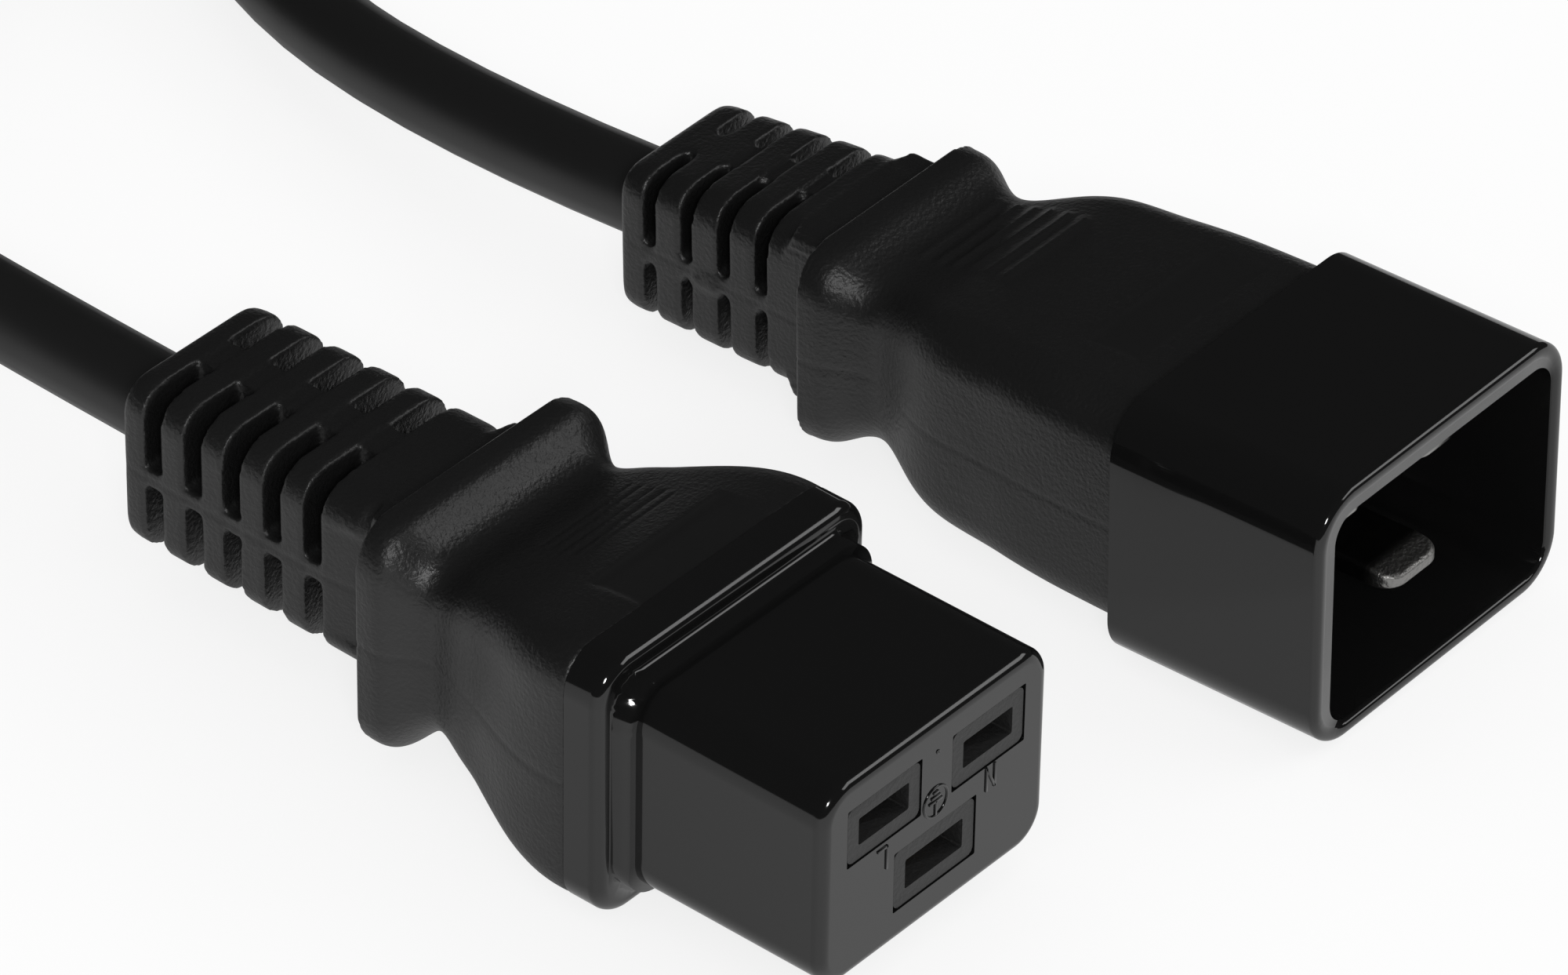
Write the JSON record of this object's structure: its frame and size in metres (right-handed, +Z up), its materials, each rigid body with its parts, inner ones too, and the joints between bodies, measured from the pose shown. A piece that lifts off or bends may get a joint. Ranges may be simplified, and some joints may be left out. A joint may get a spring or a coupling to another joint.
{
  "type": "c19 power connector",
  "caption": "Moulded mains connector with three female contacts, on its free cord with the mating pin plug at the other end; feeds equipment inlets in racks.",
  "frame": {"origin": "middle of the connector's length and width, on the surface it lies on", "axes": "+X the way the connector is pushed home, +Y across, +Z up"},
  "size_m": [0.2748, 0.1142, 0.026],
  "materials": {
    "soft_pvc": "moulded, fine grain, satin",
    "gloss_shell": "moulded, glossy",
    "matte_insert": "moulded, matte grain",
    "contact_brass": "stamped, bright",
    "plated_pin": "nickel plated, brushed",
    "core_brown": "extruded",
    "core_blue": "extruded",
    "core_green_yellow": "extruded",
    "copper": "stranded, bright",
    "cord_jacket": "extruded, satin",
    "tie_strap": "woven hook tape"
  },
  "bodies": {
    "root": {"connector_overmould": "soft_pvc", "front_housing": "gloss_shell", "contact_carrier": "matte_insert", "line_contact": "contact_brass", "neutral_contact": "contact_brass", "earth_contact": "contact_brass", "plug_shroud": "gloss_shell", "plug_pin_carrier": "matte_insert", "plug_line_pin": "plated_pin", "plug_neutral_pin": "plated_pin", "plug_earth_pin": "plated_pin", "plug_overmould": "soft_pvc", "cord_coil": "cord_jacket", "cord_tie": "tie_strap", "cord_lead_at_connector": "cord_jacket", "cord_lead_at_plug": "cord_jacket", "connector_line_core": "core_brown", "connector_neutral_core": "core_blue", "connector_earth_core": "core_green_yellow", "connector_line_strands": "copper", "connector_neutral_strands": "copper", "connector_earth_strands": "copper", "plug_line_core": "core_brown", "plug_neutral_core": "core_blue", "plug_earth_core": "core_green_yellow", "plug_line_strands": "copper", "plug_neutral_strands": "copper", "plug_earth_strands": "copper"}
  },
  "joints": []
}
